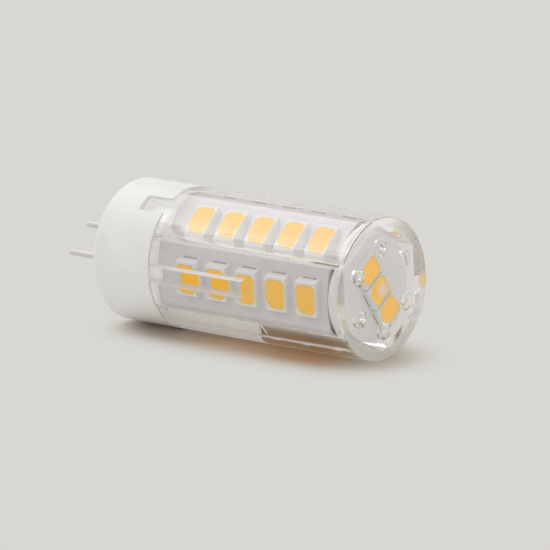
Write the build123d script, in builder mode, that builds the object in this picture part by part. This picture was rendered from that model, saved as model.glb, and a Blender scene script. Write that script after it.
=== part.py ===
"""Two-pin LED capsule lamp: a clear cover over a hexagonal LED board, on a white base cup.

The lamp stands on its flat head, with the centre of the head face at the origin.
+Z runs along the lamp axis to the pins, and the two latches of the cover lie on the Y axis.
The line through the two pins is turned a few degrees from the X axis.
"""

import os
from math import cos, radians, sin

from build123d import *

os.makedirs("parts", exist_ok=True)

# Overall sizes, in millimetres
lamp_diameter = 16.0
clear_length = 26.5
cup_length = 8.0
pin_reach = 8.5

# Clear cover
flat_wall = 1.75
head_wall = 0.8
cavity_corner_round = 0.15
head_edge_round = 0.25
spigot_length = 4.0
slot_width = 1.8
slot_start = 13.4
slot_corner_round = 0.25
slot_directions = (30.0, 150.0, 210.0, 330.0)
vent_diameter = 1.9
vent_circle_radius = 4.7
vent_edge_break = 0.1
gate_mark_diameter = 1.4
gate_mark_depth = 0.15
gate_mark_taper = 45.0

# Latches between the cover and the base cup
latch_directions = (90.0, 270.0)
tongue_width = 1.9
tongue_length = 2.9
tongue_step = 0.2
tongue_corner_round = 0.45
tongue_gap = 0.2
notch_end_gap = 0.5

# Base cup
cup_wall = 0.5
cup_floor = 1.8
cup_rear_round = 0.5
cup_mouth_break = 0.12
boss_height = 1.6
collar_reach = 1.2

# Contact pins
pin_diameter = 0.7
pin_spacing = 4.0
pin_line_turn = -9.0
pin_in_board = 3.3
pin_tip_break = 0.15
pin_collar_diameter = 1.1
pin_collar_length = 1.2

# Boards
board_thickness = 0.4
board_fold_round = 0.6
board_slit = 0.15
board_slit_direction = 240.0
end_board_thickness = 0.6
end_board_gap = 0.15
driver_thickness = 0.8

# LED packages and their phosphor windows
row_count = 6
first_row_direction = 90.0
leds_per_row = 5
end_led_count = 3
first_led = 5.3
led_pitch = 4.18
end_led_pitch = 3.0
end_row_shift = -0.3
led_width = 2.8
led_length = 3.5
led_height = 0.75
window_width = 2.4
window_length = 3.15
window_corner = 0.42
window_depth = 0.35
window_sink = 0.04
solder_foot = 0.15
solder_climb = 0.25
solder_width = 1.8

# Driver parts, as width across the lamp, length along it and height above the board
rectifier_size = (3.9, 4.7, 1.9)
rectifier_place = 23.0
chip_size = (3.8, 4.4, 1.5)
chip_place = 15.5
diode_size = (2.6, 4.2, 2.0)
diode_place = 8.6
capacitor_size = (2.5, 3.2, 2.2)
capacitor_place = 23.4
resistor_size = (3.2, 1.6, 0.55)
resistor_place = 8.0
coil_diameter = 4.0
coil_height = 2.0
coil_flange = 0.5
coil_waist = 0.9
coil_place = 15.8
leg_width = 0.5
leg_pitch = 2.5
leg_thickness = 0.2
leg_reach = 0.8
body_edge = 0.2
end_cap_length = 0.5

# Clearances between pieces
spigot_gap = 0.05
pin_gap = 0.02
boss_gap = 0.1
collar_to_cover_gap = 0.1
collar_to_board_gap = 0.1
driver_gap = 0.15
led_to_head_gap = 0.1
led_to_wall_gap = 0.1
end_board_side_gap = 0.25
fill_gap = 0.01

# Radii and heights worked out from the sizes above
lamp_radius = lamp_diameter / 2
pin_radius = pin_diameter / 2
pin_collar_radius = pin_collar_diameter / 2
cavity_apothem = lamp_radius - flat_wall
cup_bore_radius = lamp_radius - cup_wall
spigot_radius = cup_bore_radius - spigot_gap
cover_length = clear_length + spigot_length
tongue_radius = spigot_radius + tongue_step
notch_width = tongue_width + 2 * tongue_gap
notch_length = tongue_length + notch_end_gap
body_length = clear_length + cup_length
floor_height = body_length - cup_floor
boss_top = floor_height - boss_height
board_apothem = cavity_apothem - led_to_wall_gap - led_height
board_bore_apothem = board_apothem - board_thickness
boss_apothem = board_bore_apothem - boss_gap
collar_front = clear_length - collar_reach
collar_apothem = cavity_apothem - collar_to_cover_gap
collar_bore_apothem = board_apothem + collar_to_board_gap
end_board_front = head_wall + led_to_head_gap + led_height
end_board_rear = end_board_front + end_board_thickness
board_front = end_board_rear + end_board_gap
driver_rear = boss_top - driver_gap
half_driver = driver_thickness / 2
end_board_radius = cavity_apothem - end_board_side_gap
nearest_flat = radians(180.0 / row_count - abs(pin_line_turn))
driver_reach = board_bore_apothem - driver_gap - half_driver * sin(nearest_flat)
driver_width = 2 * driver_reach / cos(nearest_flat)
pin_inner_end = driver_rear - pin_in_board
pin_line = Vector(cos(radians(pin_line_turn)), sin(radians(pin_line_turn)), 0)
board_front_normal = Vector(-pin_line.Y, pin_line.X, 0)
pin_places = (-pin_line * pin_spacing / 2, pin_line * pin_spacing / 2)


def outward_plane(direction, distance=0.0, height=0.0):
    """A plane square to the lamp axis that faces outwards; its X runs along the lamp, its Y round it."""
    outward = Vector(cos(radians(direction)), sin(radians(direction)), 0)
    return Plane(origin=outward * distance + Vector(0, 0, height), x_dir=(0, 0, 1), z_dir=outward)


def finish(piece, name):
    """Labels a finished piece and writes it to its own file."""
    piece.label = name
    export_step(piece, f"parts/{name}.step")


# Clear cover: round outside, six flats inside, a reduced spigot with two tongues for the cup
with BuildPart() as clear_cover:
    with BuildSketch(Plane.XY):
        Circle(lamp_radius)
    extrude(amount=clear_length)
    fillet(clear_cover.edges().group_by(Axis.Z)[0], radius=head_edge_round)
    with BuildSketch(Plane.XY.offset(clear_length)):
        Circle(spigot_radius)
    extrude(amount=spigot_length)
    with BuildSketch(Plane.XY.offset(clear_length)):
        Circle(tongue_radius)
        Rectangle(tongue_width, lamp_diameter, mode=Mode.INTERSECT)
    extrude(amount=tongue_length)
    fillet(
        clear_cover.edges().filter_by(Axis.Y).group_by(Axis.Z)[-1],
        radius=tongue_corner_round,
    )
    with BuildSketch(Plane.XY.offset(head_wall)) as cavity:
        RegularPolygon(cavity_apothem, row_count, major_radius=False)
        fillet(cavity.vertices(), radius=cavity_corner_round)
    extrude(amount=cover_length - head_wall, mode=Mode.SUBTRACT)
    for slot_direction in slot_directions:
        with BuildSketch(outward_plane(slot_direction)):
            with Locations((slot_start, 0)):
                RectangleRounded(
                    2 * (cover_length - slot_start),
                    slot_width,
                    slot_corner_round,
                    align=(Align.MIN, Align.CENTER),
                )
        extrude(amount=lamp_diameter, mode=Mode.SUBTRACT)
    with BuildSketch(Plane.XY):
        with PolarLocations(vent_circle_radius, row_count):
            Circle(vent_diameter / 2)
    extrude(amount=head_wall, mode=Mode.SUBTRACT)
    head_rims = clear_cover.edges().filter_by(GeomType.CIRCLE).group_by(Axis.Z)[0]
    vent_rims = head_rims.sort_by(SortBy.RADIUS)[:row_count]
    chamfer(vent_rims, length=vent_edge_break)
    with BuildSketch(Plane.XY):
        Circle(gate_mark_diameter / 2)
    extrude(amount=gate_mark_depth, taper=gate_mark_taper, mode=Mode.SUBTRACT)
finish(clear_cover.part, "clear_cover")

# Base cup: thin round wall, floor with a hexagonal boss and collar for the board, pin holes and two notches
with BuildPart() as base_cup:
    with BuildSketch(Plane.XY.offset(clear_length)):
        Circle(lamp_radius)
    extrude(amount=cup_length)
    fillet(base_cup.edges().group_by(Axis.Z)[-1], radius=cup_rear_round)
    with BuildSketch(Plane.XY.offset(clear_length)):
        Circle(cup_bore_radius)
    extrude(amount=cup_length - cup_floor, mode=Mode.SUBTRACT)
    chamfer(base_cup.edges().group_by(Axis.Z)[0].sort_by(SortBy.RADIUS)[-1], length=cup_mouth_break)
    with BuildSketch(Plane.XY.offset(boss_top)):
        RegularPolygon(boss_apothem, row_count, major_radius=False)
    extrude(amount=boss_height)
    with BuildSketch(Plane.XY.offset(boss_top)):
        with Locations(*pin_places):
            Circle(pin_radius + pin_gap)
    extrude(amount=boss_height + cup_floor, mode=Mode.SUBTRACT)
    with BuildSketch(Plane.XY.offset(body_length)):
        with Locations(*pin_places):
            Circle(pin_collar_radius + pin_gap)
    extrude(amount=-pin_collar_length, mode=Mode.SUBTRACT)
    for latch_direction in latch_directions:
        with BuildSketch(outward_plane(latch_direction)):
            with Locations((clear_length, 0)):
                Rectangle(2 * notch_length, notch_width)
        extrude(amount=lamp_diameter, mode=Mode.SUBTRACT)
    with BuildSketch(Plane.XY.offset(collar_front)):
        RegularPolygon(collar_apothem, row_count, major_radius=False)
        RegularPolygon(collar_bore_apothem, row_count, major_radius=False, mode=Mode.SUBTRACT)
    extrude(amount=floor_height - collar_front)
finish(base_cup.part, "base_cup")

# Contact pins: round wire with a thicker collar pressed in the cup's floor, soldered in the driver board
for pin_number, pin_place in enumerate(pin_places, start=1):
    with BuildPart() as contact_pin:
        with BuildSketch(Plane.XY.offset(pin_inner_end)):
            with Locations(pin_place):
                Circle(pin_radius)
        extrude(amount=body_length + pin_reach - pin_inner_end)
        chamfer(contact_pin.edges().group_by(Axis.Z)[-1], length=pin_tip_break)
        with BuildSketch(Plane.XY.offset(body_length)):
            with Locations(pin_place):
                Circle(pin_collar_radius)
        extrude(amount=-pin_collar_length)
    finish(contact_pin.part, f"contact_pin_{pin_number}")

# LED board: one thin board folded round six sides, with a slit where its two ends meet
with BuildPart() as led_board:
    with BuildSketch(Plane.XY.offset(board_front)) as folded:
        RegularPolygon(board_apothem, row_count, major_radius=False)
        fillet(folded.vertices(), radius=board_fold_round)
        offset(amount=-board_thickness, kind=Kind.INTERSECTION, mode=Mode.SUBTRACT)
        with PolarLocations(board_apothem, 1, start_angle=board_slit_direction):
            Rectangle(board_apothem, board_slit, mode=Mode.SUBTRACT)
    extrude(amount=floor_height - board_front)
finish(led_board.part, "led_board")

# End board: a round disc that carries the three head LEDs
with BuildPart() as end_board:
    with BuildSketch(Plane.XY.offset(end_board_front)):
        Circle(end_board_radius)
    extrude(amount=end_board_thickness)
finish(end_board.part, "end_board")

# Seats of the LEDs: name of the row, and a plane on the board for each LED of it
led_rows = {}
for row in range(row_count):
    row_direction = first_row_direction - row * 360.0 / row_count
    led_rows[f"row_{row + 1}"] = [
        outward_plane(row_direction, board_apothem, first_led + place * led_pitch)
        for place in range(leds_per_row)
    ]
led_rows["head"] = [
    Plane(
        origin=(0, end_row_shift + (place - (end_led_count - 1) / 2) * end_led_pitch, end_board_front),
        x_dir=(0, 1, 0),
        z_dir=(0, 0, -1),
    )
    for place in range(end_led_count)
]

# LED packages: a white housing with a pocket, one node each, and one node of windows for each row
for row_name, seats in led_rows.items():
    for led_number, seat in enumerate(seats, start=1):
        with BuildPart() as led_package:
            with BuildSketch(seat):
                Rectangle(led_width, led_length)
            extrude(amount=led_height)
            with BuildSketch(seat.offset(led_height)) as pocket:
                Rectangle(window_width, window_length)
                chamfer(pocket.vertices(), length=window_corner)
            extrude(amount=-window_depth, mode=Mode.SUBTRACT)
        finish(led_package.part, f"led_{row_name}_{led_number}")
    with BuildPart() as phosphor_windows:
        for seat in seats:
            with BuildSketch(seat.offset(led_height - window_sink)) as window:
                Rectangle(window_width - 2 * fill_gap, window_length - 2 * fill_gap)
                chamfer(window.vertices(), length=window_corner)
            extrude(amount=window_sink - window_depth)
    finish(phosphor_windows.part, f"phosphor_{row_name}")

# Solder: a small fillet at both ends of every LED
with BuildPart() as led_solder:
    for seats in led_rows.values():
        for seat in seats:
            for side in (-1, 1):
                foot = seat.location * Location((-solder_width / 2, side * led_length / 2, 0))
                foot_plane = Plane(foot)
                section = Plane(
                    origin=foot_plane.origin,
                    x_dir=foot_plane.y_dir * side,
                    z_dir=foot_plane.x_dir * side,
                )
                with BuildSketch(section):
                    with BuildLine():
                        Polyline((0, 0), (solder_foot, 0), (0, solder_climb), close=True)
                    make_face()
                extrude(amount=side * solder_width)
finish(led_solder.part, "led_solder")

# Driver board: a flat board along the axis, from the end board to the boss, notched for the pins
driver_plane = Plane(origin=board_front_normal * half_driver, x_dir=pin_line, z_dir=-board_front_normal)
with BuildPart() as driver_board:
    with BuildSketch(driver_plane):
        with Locations((0, end_board_rear)):
            Rectangle(driver_width, driver_rear - end_board_rear, align=(Align.CENTER, Align.MIN))
        with Locations((-pin_spacing / 2, driver_rear), (pin_spacing / 2, driver_rear)):
            Rectangle(
                pin_diameter + 2 * pin_gap,
                2 * (pin_in_board + pin_gap),
                mode=Mode.SUBTRACT,
            )
    extrude(amount=driver_thickness)
finish(driver_board.part, "driver_board")

# Faces of the driver board that carry the driver parts; X runs across the lamp, Y along it
front_face = Plane(origin=board_front_normal * half_driver, x_dir=-pin_line, z_dir=board_front_normal)
back_face = Plane(origin=-board_front_normal * half_driver, x_dir=pin_line, z_dir=-board_front_normal)


def chip_body(face, size, place, legs_across=0):
    """A moulded chip body on a board face, with flat legs at its two sides."""
    width, length, height = size
    with BuildPart() as chip:
        with BuildSketch(face):
            with Locations((0, place)):
                Rectangle(width, length)
        extrude(amount=height)
        chamfer(chip.edges().filter_by(Axis.Z), length=body_edge)
        if legs_across:
            with BuildSketch(face):
                with Locations((0, place)):
                    with GridLocations(0, leg_pitch, 1, legs_across):
                        Rectangle(width + 2 * leg_reach, leg_width)
            extrude(amount=leg_thickness)
    return chip.part


def capped_block(face, size, place):
    """A ceramic or film block on a board face, with raised metal caps at both ends."""
    width, length, height = size
    with BuildPart() as block:
        with BuildSketch(face):
            with Locations((0, place)):
                Rectangle(width, length)
        extrude(amount=height)
        with BuildSketch(face):
            with Locations((0, place)):
                with GridLocations(0, length - end_cap_length, 1, 2):
                    Rectangle(width + body_edge, end_cap_length)
        extrude(amount=height + body_edge / 2)
    return block.part


finish(chip_body(front_face, rectifier_size, rectifier_place, legs_across=2), "bridge_rectifier")
finish(chip_body(front_face, chip_size, chip_place, legs_across=2), "driver_chip")
finish(chip_body(front_face, diode_size, diode_place), "return_diode")
finish(capped_block(back_face, capacitor_size, capacitor_place), "filter_capacitor")
finish(capped_block(back_face, resistor_size, resistor_place), "sense_resistor")

# Drum coil: two round flanges and a thinner waist that holds the winding
with BuildPart() as drum_coil:
    coil_radius = coil_diameter / 2
    with BuildSketch(back_face):
        with Locations((0, coil_place)):
            Circle(coil_radius)
    extrude(amount=coil_height)
    with BuildSketch(back_face.offset(coil_flange)):
        with Locations((0, coil_place)):
            Circle(coil_radius)
            Circle(coil_radius - coil_waist / 2, mode=Mode.SUBTRACT)
    extrude(amount=coil_height - 2 * coil_flange, mode=Mode.SUBTRACT)
finish(drum_coil.part, "drum_coil")
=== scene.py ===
# %% [markdown]
# # A two-pin LED capsule lamp
# A small lamp for a 4 mm two-pin holder: a clear round cover over a six-sided LED board, on a white cup.
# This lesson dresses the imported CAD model. The CAD fixes where everything is, and this file adds the
# shapes, surfaces and light that make it look like the real lamp.

from math import cos, radians, sin, tan

import bmesh
import bpy
from mathutils import Matrix, Vector


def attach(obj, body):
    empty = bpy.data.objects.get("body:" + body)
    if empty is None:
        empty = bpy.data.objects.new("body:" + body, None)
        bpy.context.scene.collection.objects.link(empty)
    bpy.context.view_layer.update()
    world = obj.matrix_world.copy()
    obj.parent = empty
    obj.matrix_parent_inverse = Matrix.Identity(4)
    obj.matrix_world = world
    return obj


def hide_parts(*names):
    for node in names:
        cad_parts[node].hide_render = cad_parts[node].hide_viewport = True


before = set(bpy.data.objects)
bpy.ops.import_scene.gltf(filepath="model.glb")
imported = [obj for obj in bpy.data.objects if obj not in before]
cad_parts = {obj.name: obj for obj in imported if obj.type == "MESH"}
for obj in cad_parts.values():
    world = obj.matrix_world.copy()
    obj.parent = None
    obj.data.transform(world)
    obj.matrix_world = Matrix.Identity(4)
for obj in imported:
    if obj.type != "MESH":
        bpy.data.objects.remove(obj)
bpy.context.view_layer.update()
print("nodes loaded:", len(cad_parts))

# %% [markdown]
# Everything is modelled in millimetres, because Blender's own merge distances suit that size, and each
# finished piece is made smaller by a thousand to sit in the CAD frame, which is in metres.

# %% Sizes in millimetres, as in the CAD
MILLIMETRE = 0.001
LAMP_RADIUS = 8.0
SEAM_HEIGHT = 26.5
BODY_HEIGHT = 34.5
PIN_TIP_HEIGHT = 43.0
COVER_END = 30.5
SPIGOT_RADIUS = 7.45
CAVITY_APOTHEM = 6.25
HEAD_WALL = 0.8
HEAD_ROUND = 0.25
BOARD_APOTHEM = 5.4
BOARD_FRONT = 2.8
BOARD_THICKNESS = 0.4
END_BOARD_FRONT = 1.65
END_BOARD_THICKNESS = 0.6
END_BOARD_RADIUS = 6.0
CUP_BORE_RADIUS = 7.5
CUP_REAR_ROUND = 0.5
CUP_FLOOR_HEIGHT = 32.7
BOSS_TOP = 31.1
BOSS_APOTHEM = 4.9
COLLAR_FRONT = 26.4
COLLAR_APOTHEM = 6.15
COLLAR_BORE_APOTHEM = 5.5
SLOT_START = 13.4
SLOT_HALF_WIDTH = 0.9
PIN_LINE_TURN = radians(-9.0)
PIN_PLACES = [(side * cos(PIN_LINE_TURN), side * sin(PIN_LINE_TURN)) for side in (-2.0, 2.0)]
ROW_DIRECTIONS = (90.0, 30.0, -30.0, -90.0, -150.0, 150.0)
BOARD_TURN = -1.8
SLOT_DIRECTIONS = (30.0, 150.0, 210.0, 330.0)
LATCH_DIRECTIONS = (90.0, 270.0)
ROUND_STEPS = 192
HEX_CORNER = 1.0 / cos(radians(30.0))

# %% [markdown]
# A few helpers do what the hand does in the window: select, run an operator, apply a modifier.


# %% Helpers for modelling by hand
def deselect_all():
    bpy.ops.object.select_all(action="DESELECT")


def take_up(piece):
    """Makes one piece the selected and active one."""
    deselect_all()
    piece.select_set(True)
    bpy.context.view_layer.objects.active = piece


def name_new(name):
    """Names the primitive that was just added."""
    piece = bpy.context.object
    piece.name = name
    piece.data.name = name
    return piece


def work_on(piece, kind, chosen, operator, **settings):
    """Selects faces, edges or points by a test of them, and runs one edit mode operator."""
    take_up(piece)
    bpy.ops.object.mode_set(mode="EDIT")
    bpy.ops.mesh.select_mode(type=kind)
    bpy.ops.mesh.select_all(action="DESELECT")
    drawing = bmesh.from_edit_mesh(piece.data)
    parts = {"FACE": drawing.faces, "EDGE": drawing.edges, "VERT": drawing.verts}[kind]
    for part in [part for part in parts if chosen(part)]:
        part.select_set(True)
    bmesh.update_edit_mesh(piece.data)
    operator(**settings)
    bpy.ops.object.mode_set(mode="OBJECT")


def work_again(operator, **settings):
    """Runs one more operator on what the last one left selected."""
    bpy.ops.object.mode_set(mode="EDIT")
    operator(**settings)
    bpy.ops.object.mode_set(mode="OBJECT")


def apply_modifier(piece, kind, **settings):
    """Adds a modifier with its settings and applies it."""
    take_up(piece)
    modifier = piece.modifiers.new(kind.title(), kind)
    for setting, value in settings.items():
        setattr(modifier, setting, value)
    bpy.ops.object.modifier_apply(modifier=modifier.name)


def combine(piece, other, operation):
    """Cuts, adds or keeps the shared part of another piece, which is then removed."""
    apply_modifier(piece, "BOOLEAN", operation=operation, solver="EXACT", object=other)
    bpy.data.objects.remove(other)


def join(pieces, name):
    """Joins pieces into the first one and names it."""
    deselect_all()
    for piece in pieces:
        piece.select_set(True)
    bpy.context.view_layer.objects.active = pieces[0]
    bpy.ops.object.join()
    return name_new(name)


def turned_copy(piece, name, matrix):
    """Copies a piece with a mesh of its own, moved by a matrix."""
    copy = piece.copy()
    copy.data = piece.data.copy()
    copy.data.transform(matrix)
    copy.name = name
    copy.data.name = name
    bpy.context.scene.collection.objects.link(copy)
    return copy


def height_of(part):
    """The mean height of a face or an edge."""
    return sum(vert.co.z for vert in part.verts) / len(part.verts)


def level(part):
    """True for an edge or face whose points all have the same height."""
    heights = [vert.co.z for vert in part.verts]
    return max(heights) - min(heights) < 1e-4


def reach_of(part):
    """The mean distance of a part's points from the lamp's axis."""
    return sum(vert.co.xy.length for vert in part.verts) / len(part.verts)


def reach_of_face(piece, face):
    """The largest distance of a finished face's points from the lamp's axis."""
    return max(piece.data.vertices[index].co.xy.length for index in face.vertices)


def settle(piece, slot, *nodes):
    """Smooths a piece, brings it to metres, gives it its body and hides the CAD nodes it stands for; the
    slot is not used.
    """
    take_up(piece)
    bpy.ops.object.transform_apply(location=True, rotation=True, scale=True)
    bpy.ops.object.shade_smooth_by_angle(angle=radians(30.0))
    apply_modifier(piece, "WEIGHTED_NORMAL", keep_sharp=True, weight=80)
    piece.data.transform(Matrix.Scale(MILLIMETRE, 4))
    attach(piece, "root")
    if nodes:
        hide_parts(*nodes)
    print(piece.name, len(piece.data.polygons), "faces")


# %% [markdown]
# Finishes are made of nodes. The numbers that are the same all over go straight on the shader's own
# sockets. Colour that varies comes from a noise that is stretched between two near colours, and relief
# comes from a second noise through a bump. All read Object coordinates, so they stay on the lamp.


# %% Helpers for finishes
def new_finish(name, colour, roughness, **sockets):
    """A material with one principled shader and its plain numbers."""
    finish = bpy.data.materials.new(name)
    finish.use_nodes = True
    shader = finish.node_tree.nodes["Principled BSDF"]
    shader.inputs["Base Color"].default_value = (*colour, 1.0)
    shader.inputs["Roughness"].default_value = roughness
    for socket, value in sockets.items():
        shader.inputs[socket.replace("_", " ")].default_value = value
    return finish


def grain(finish, scale, detail=3.0, stretch=(1.0, 1.0, 1.0)):
    """A noise on Object coordinates; the scale counts its grains in one millimetre."""
    nodes = finish.node_tree.nodes
    links = finish.node_tree.links
    place = nodes.new("ShaderNodeTexCoord")
    mapping = nodes.new("ShaderNodeMapping")
    mapping.inputs["Scale"].default_value = stretch
    noise = nodes.new("ShaderNodeTexNoise")
    noise.inputs["Scale"].default_value = scale / MILLIMETRE
    noise.inputs["Detail"].default_value = detail
    links.new(place.outputs["Object"], mapping.inputs["Vector"])
    links.new(mapping.outputs["Vector"], noise.inputs["Vector"])
    return noise.outputs["Fac"]


def between(finish, amount, start, end, low, high):
    """A colour that goes from low to high as the amount goes from start to end."""
    ramp = finish.node_tree.nodes.new("ShaderNodeValToRGB")
    ramp.color_ramp.elements[0].position = start
    ramp.color_ramp.elements[1].position = end
    ramp.color_ramp.elements[0].color = (*low, 1.0)
    ramp.color_ramp.elements[1].color = (*high, 1.0)
    finish.node_tree.links.new(amount, ramp.inputs["Fac"])
    return ramp.outputs["Color"]


def paint(finish, socket, output):
    """Links an output to a socket of the finish's shader."""
    shader = finish.node_tree.nodes["Principled BSDF"]
    finish.node_tree.links.new(output, shader.inputs[socket])


def cloud(finish, amount, low, high):
    """Spreads two near colours over a finish, by the middle values that a noise has most of."""
    paint(finish, "Base Color", between(finish, amount, 0.35, 0.65, low, high))


def relief(finish, amount, depth, strength):
    """Raises the surface by a pattern; the depth is in millimetres."""
    bump = finish.node_tree.nodes.new("ShaderNodeBump")
    bump.inputs["Strength"].default_value = strength
    bump.inputs["Distance"].default_value = depth * MILLIMETRE
    finish.node_tree.links.new(amount, bump.inputs["Height"])
    paint(finish, "Normal", bump.outputs["Normal"])


def let_light_through(finish, film_colour):
    """Lets the rays that only carry light pass straight through a finish, as through a thin film."""
    nodes = finish.node_tree.nodes
    links = finish.node_tree.links
    film = nodes.new("ShaderNodeBsdfTransparent")
    film.inputs["Color"].default_value = (*film_colour, 1.0)
    ray = nodes.new("ShaderNodeLightPath")
    light_only = nodes.new("ShaderNodeMath")
    light_only.operation = "MAXIMUM"
    either = nodes.new("ShaderNodeMixShader")
    links.new(ray.outputs["Is Shadow Ray"], light_only.inputs[0])
    links.new(ray.outputs["Is Diffuse Ray"], light_only.inputs[1])
    links.new(light_only.outputs["Value"], either.inputs["Fac"])
    links.new(nodes["Principled BSDF"].outputs["BSDF"], either.inputs[1])
    links.new(film.outputs["BSDF"], either.inputs[2])
    links.new(either.outputs["Shader"], nodes["Material Output"].inputs["Surface"])


def dress(piece, finish):
    """Gives a piece one finish."""
    piece.data.materials.clear()
    piece.data.materials.append(finish)


# %% [markdown]
# ## The camera
# The photograph was taken from the head end with a long lens, the lamp lying on its side. The three
# directions below were fitted to the lamp's outline in it. A long lens keeps parallel edges parallel,
# so the lens is long and the camera far.

# %% Set the camera at the photograph's viewing angle
CAMERA_PLACE = Vector((357.85, 426.47, -409.06)) * MILLIMETRE
CAMERA_RIGHT = Vector((-0.51259, -0.34954, -0.78427))
CAMERA_DOWN = Vector((0.69006, -0.71124, -0.13402))
LENS = 415.96

camera_data = bpy.data.cameras.new("camera")
camera_data.lens = LENS
camera_data.sensor_width = 36.0
camera_data.clip_start = 0.01
camera = bpy.data.objects.new("camera", camera_data)
bpy.context.scene.collection.objects.link(camera)
camera_back = CAMERA_RIGHT.cross(-CAMERA_DOWN)
camera.matrix_world = Matrix.Translation(CAMERA_PLACE) @ Matrix((
    (CAMERA_RIGHT.x, -CAMERA_DOWN.x, camera_back.x),
    (CAMERA_RIGHT.y, -CAMERA_DOWN.y, camera_back.y),
    (CAMERA_RIGHT.z, -CAMERA_DOWN.z, camera_back.z),
)).to_4x4()
bpy.context.scene.camera = camera
print("camera at", [round(value, 3) for value in CAMERA_PLACE])

# %% [markdown]
# ## The base cup
# The real cup is injection moulded in white plastic: a thin round wall, a rounded rear rim, two notches
# at its mouth for the cover's tongues, a six-sided collar inside it that holds the end of the LED board,
# and two faint mould lines. A spun profile would do for the round wall alone. It starts as a cylinder
# instead, whose edges are bevelled, because booleans then cut and add all the rest as plain shapes.

# %% Model the base cup
CUP_MOUTH_BREAK = 0.12
bpy.ops.mesh.primitive_cylinder_add(
    vertices=ROUND_STEPS,
    radius=LAMP_RADIUS,
    depth=BODY_HEIGHT - SEAM_HEIGHT,
    location=(0, 0, (BODY_HEIGHT + SEAM_HEIGHT) / 2),
)
base_cup = name_new("moulded_base_cup")
take_up(base_cup)
bpy.ops.object.transform_apply(location=True, rotation=True, scale=True)
work_on(
    base_cup, "EDGE", lambda edge: level(edge) and height_of(edge) > BODY_HEIGHT - 0.01,
    bpy.ops.mesh.bevel, offset=CUP_REAR_ROUND, segments=10, profile=0.5,
)
work_on(
    base_cup, "EDGE", lambda edge: level(edge) and height_of(edge) < SEAM_HEIGHT + 0.01,
    bpy.ops.mesh.bevel, offset=CUP_MOUTH_BREAK, segments=3, profile=0.5,
)

# %% Cut the inside of the cup and stand the boss in it
BOSS_ROOT = 0.4
BOSS_EDGE_ROUND = 0.15
bpy.ops.mesh.primitive_cylinder_add(
    vertices=ROUND_STEPS,
    radius=CUP_BORE_RADIUS,
    depth=2 * (CUP_FLOOR_HEIGHT - SEAM_HEIGHT),
    location=(0, 0, SEAM_HEIGHT),
)
combine(base_cup, name_new("cup_bore"), "DIFFERENCE")
bpy.ops.mesh.primitive_cylinder_add(
    vertices=6,
    radius=BOSS_APOTHEM * HEX_CORNER,
    depth=CUP_FLOOR_HEIGHT - BOSS_TOP + BOSS_ROOT,
    location=(0, 0, (CUP_FLOOR_HEIGHT + BOSS_TOP + BOSS_ROOT) / 2),
    rotation=(0, 0, radians(30.0)),
)
boss = name_new("cup_boss")
work_on(
    boss, "EDGE", lambda edge: not level(edge) or height_of(edge) < 0,
    bpy.ops.mesh.bevel, offset=BOSS_EDGE_ROUND, segments=2,
)
combine(base_cup, boss, "UNION")

# %% Cut the notches, and the holes that hold the pins
NOTCH_HALF_WIDTH = 1.15
NOTCH_LENGTH = 3.4
NOTCH_CORNER = 0.3
NOTCH_CUTTER_DEPTH = 6.0
NOTCH_CUTTER_PLACE = LAMP_RADIUS + 1.0
PIN_HOLE_RADIUS = 0.57
PIN_HOLE_LENGTH = 8.0
for notch_direction in LATCH_DIRECTIONS:
    bpy.ops.mesh.primitive_cube_add(
        size=1.0,
        location=(0, 0, SEAM_HEIGHT),
        scale=(NOTCH_CUTTER_DEPTH, 2 * NOTCH_HALF_WIDTH, 2 * NOTCH_LENGTH),
    )
    notch = name_new("notch")
    work_on(
        notch, "EDGE",
        lambda edge: height_of(edge) > 0 and abs(edge.verts[0].co.x - edge.verts[1].co.x) > 0.1,
        bpy.ops.mesh.bevel, offset=NOTCH_CORNER, segments=6,
    )
    notch.data.transform(
        Matrix.Rotation(radians(notch_direction), 4, "Z")
        @ Matrix.Translation((NOTCH_CUTTER_PLACE, 0, 0))
    )
    combine(base_cup, notch, "DIFFERENCE")
for pin_place in PIN_PLACES:
    bpy.ops.mesh.primitive_cylinder_add(
        vertices=40,
        radius=PIN_HOLE_RADIUS,
        depth=PIN_HOLE_LENGTH,
        location=(*pin_place, BODY_HEIGHT),
    )
    combine(base_cup, name_new("pin_hole"), "DIFFERENCE")

# %% Stand the collar round the board's end
COLLAR_END = CUP_FLOOR_HEIGHT + 0.3
COLLAR_BORE_OVERSHOOT = 1.0
collar_sides = []
for collar_apothem, overshoot in (
    (COLLAR_APOTHEM, 0.0),
    (COLLAR_BORE_APOTHEM, COLLAR_BORE_OVERSHOOT),
):
    bpy.ops.mesh.primitive_cylinder_add(
        vertices=6,
        radius=collar_apothem * HEX_CORNER,
        depth=COLLAR_END - COLLAR_FRONT + 2 * overshoot,
        location=(0, 0, (COLLAR_END + COLLAR_FRONT) / 2),
        rotation=(0, 0, radians(30.0)),
    )
    collar_sides.append(name_new("cup_collar"))
    bpy.ops.object.transform_apply(location=True, rotation=True, scale=True)
combine(collar_sides[0], collar_sides[1], "DIFFERENCE")
combine(base_cup, collar_sides[0], "UNION")

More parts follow.
